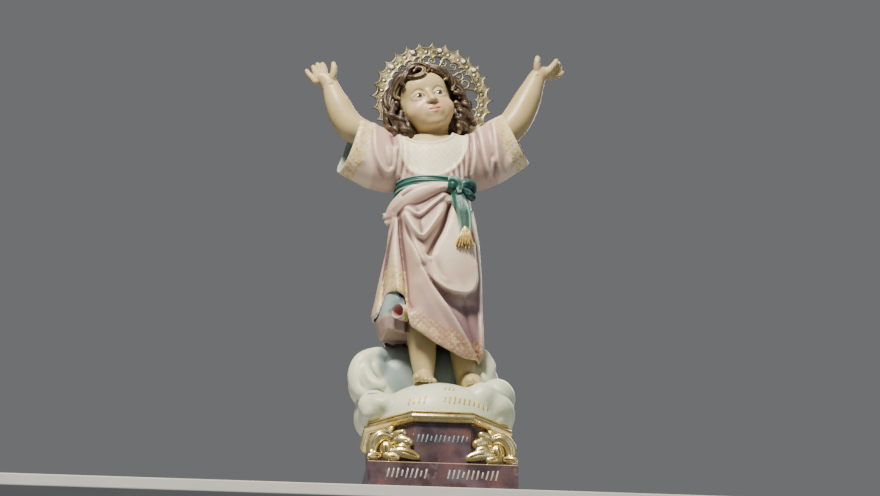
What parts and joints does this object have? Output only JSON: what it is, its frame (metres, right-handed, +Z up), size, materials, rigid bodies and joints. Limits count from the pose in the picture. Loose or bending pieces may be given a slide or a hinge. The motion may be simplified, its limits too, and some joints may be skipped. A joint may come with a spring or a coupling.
{
  "type": "child jesus statue",
  "caption": "Painted standing child with raised arms on a cloud, with a ring halo, on an octagonal plinth with gilt corner sprays.",
  "frame": {"origin": "centre of the underside of the base block", "axes": "+Z up, -Y the way the child faces, +X the child's left"},
  "size_m": [0.5355, 0.2904, 1.0307],
  "materials": {
    "marbled_paint": "varnished maroon marbling",
    "gold_leaf": "burnished gold leaf, worn",
    "tunic_paint": "satin pink paint over plaster",
    "skin_paint": "satin flesh paint over plaster",
    "hair_paint": "brown paint with gold touches",
    "sash_paint": "satin green-blue paint",
    "tassel_gold": "gold paint",
    "cloud_paint": "satin pale green-white paint",
    "halo_brass": "aged, engraved",
    "halo_stones": "clear cut glass"
  },
  "bodies": {
    "root": {"base_block": "marbled_paint", "plinth_drum": "marbled_paint", "gilded_moulding": "gold_leaf", "ornament_right": "gold_leaf", "ornament_left": "gold_leaf", "figure_on_cloud": "tunic_paint", "halo": "halo_brass"}
  },
  "joints": []
}
